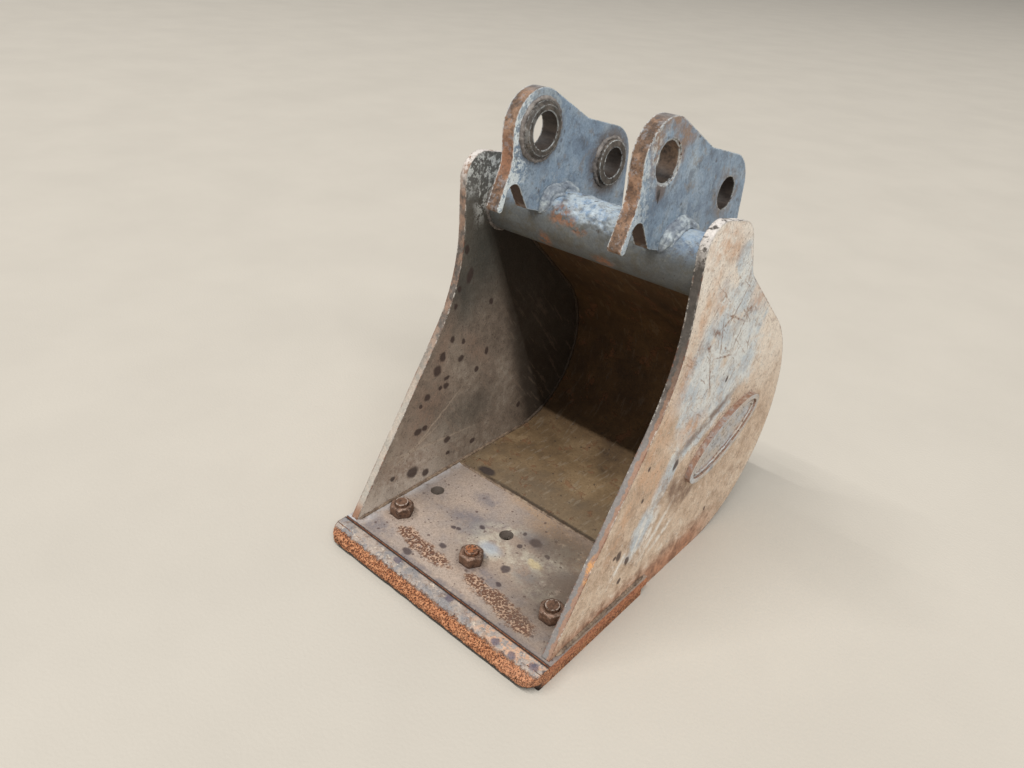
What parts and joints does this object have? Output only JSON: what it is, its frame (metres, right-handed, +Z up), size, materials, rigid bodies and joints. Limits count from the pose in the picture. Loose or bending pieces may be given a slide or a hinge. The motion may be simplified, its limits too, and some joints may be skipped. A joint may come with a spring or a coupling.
{
  "type": "excavator bucket",
  "caption": "Detached digging bucket for a small excavator: curved welded shell between two cheeks, a tube with two pin-on hanger ears, and a bolted cutting edge.",
  "frame": {"origin": "on the floor the bucket stands on, under the middle of its length and width", "axes": "+Z up, +X across the bucket towards the cheek that carries the oval badge, +Y from the cutting edge back to the heel of the shell; the mouth faces -Y and the hanger ears stand up"},
  "size_m": [0.325, 0.483, 0.517],
  "materials": {
    "cheek_paint": "worn grey-blue paint with dust, scratches and rusted edges",
    "ear_paint": "worn blue-grey paint with chipped, rusted edges",
    "tube_paint": "worn blue-grey paint over weld metal with rust stains",
    "shell_paint": "dusty brown worn paint and dry soil film",
    "lip_steel": "worn grey film with dark rust stains",
    "edge_steel": "bright orange pitted rust",
    "bolt_steel": "dark brown rusted steel",
    "badge_paint": "pale worn blue-grey paint"
  },
  "bodies": {
    "root": {"badge": "badge_paint", "cheek_left": "cheek_paint", "cheek_right": "cheek_paint", "cross_tube": "tube_paint", "cutting_edge": "edge_steel", "ear_left": "ear_paint", "ear_right": "ear_paint", "edge_bolt_1": "bolt_steel", "edge_bolt_2": "bolt_steel", "edge_bolt_3": "bolt_steel", "edge_nut_1": "bolt_steel", "edge_nut_2": "bolt_steel", "edge_nut_3": "bolt_steel", "lip_plate": "lip_steel", "shell": "shell_paint"}
  },
  "joints": []
}
